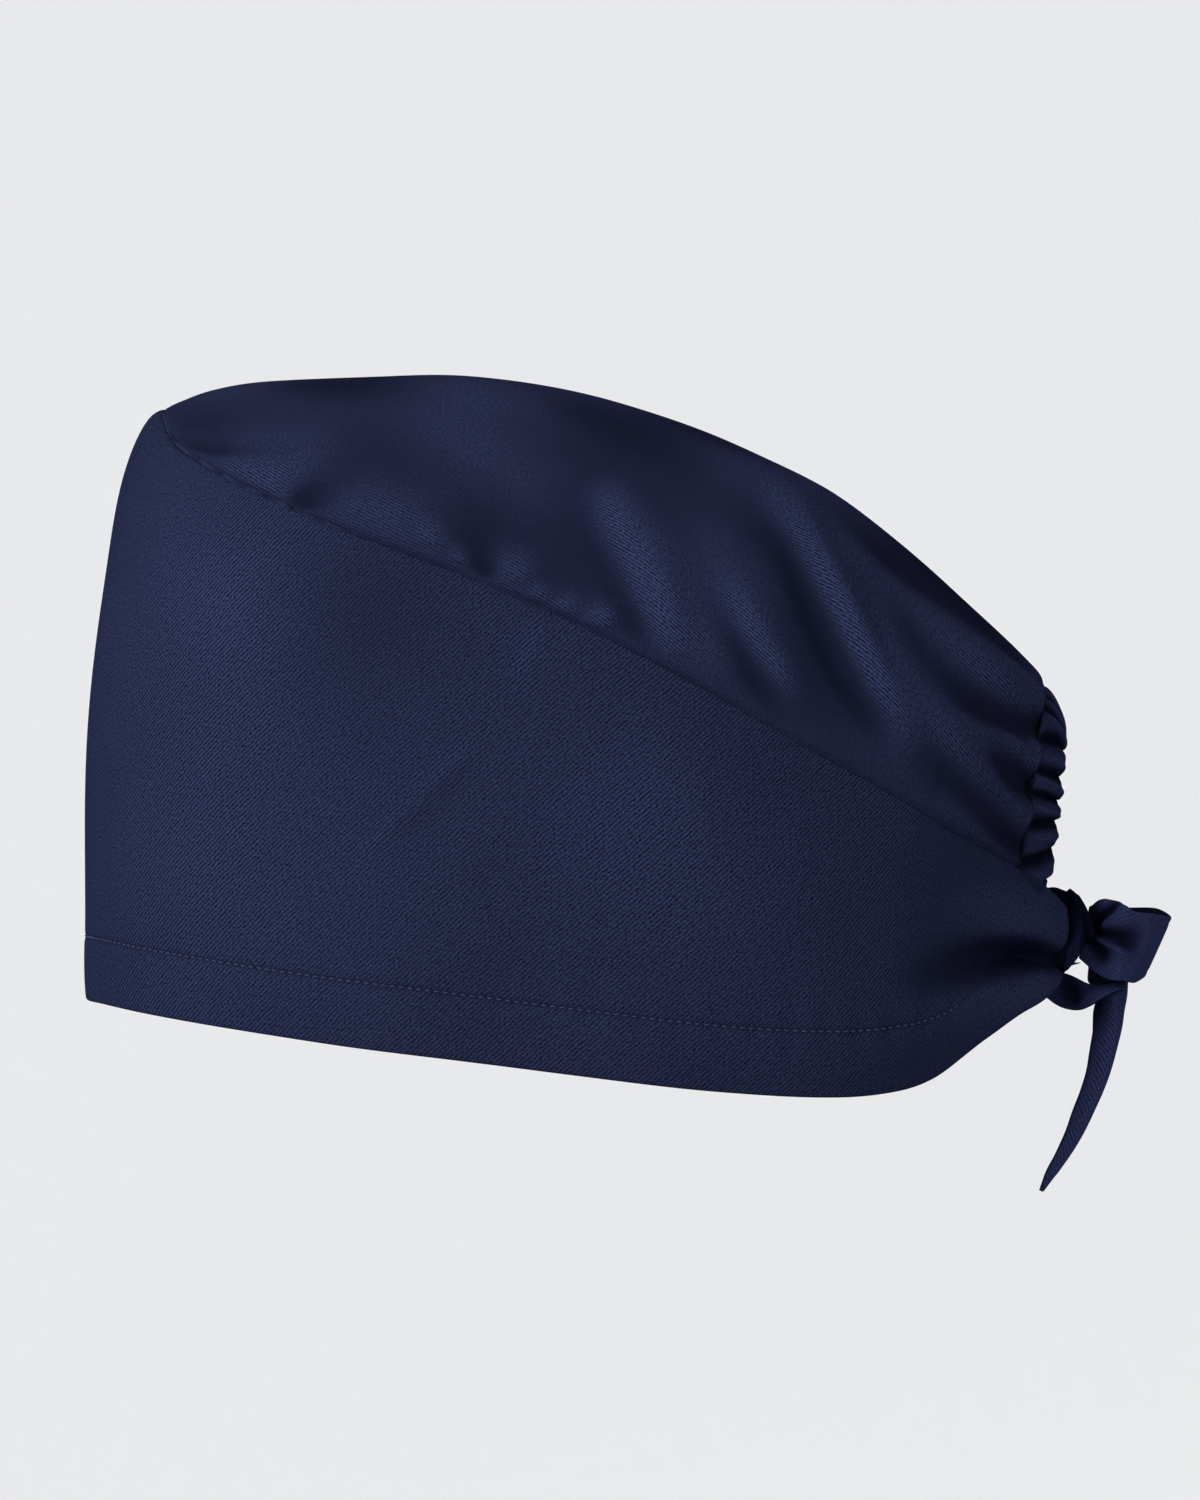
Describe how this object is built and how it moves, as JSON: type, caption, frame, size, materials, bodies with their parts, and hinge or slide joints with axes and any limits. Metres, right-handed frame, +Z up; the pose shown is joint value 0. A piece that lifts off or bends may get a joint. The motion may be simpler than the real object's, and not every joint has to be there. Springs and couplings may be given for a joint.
{
  "type": "scrub cap",
  "caption": "Tie-back cloth surgical cap with a high side band, a gathered crown, a ruffled elastic casing at the back and a tied bow.",
  "frame": {"origin": "head_seat: the middle of the rim opening, where the head goes in", "axes": "+X towards the back of the head, where the bow is; -X the way the wearer faces; +Y the wearer's right; +Z up. The cap keeps the tilt of the picture, its rim lower at the back"},
  "size_m": [0.2719, 0.1652, 0.2042],
  "materials": {
    "band_twill": "navy satin twill, soft sheen",
    "crown_twill": "navy satin twill, gathered",
    "tie_twill": "navy twill strap"
  },
  "bodies": {
    "root": {"side_band": "band_twill", "crown": "crown_twill", "elastic_casing": "crown_twill", "tie_knot": "tie_twill", "bow_loop": "tie_twill", "lower_loop": "tie_twill", "tie_tail": "tie_twill"}
  },
  "joints": []
}
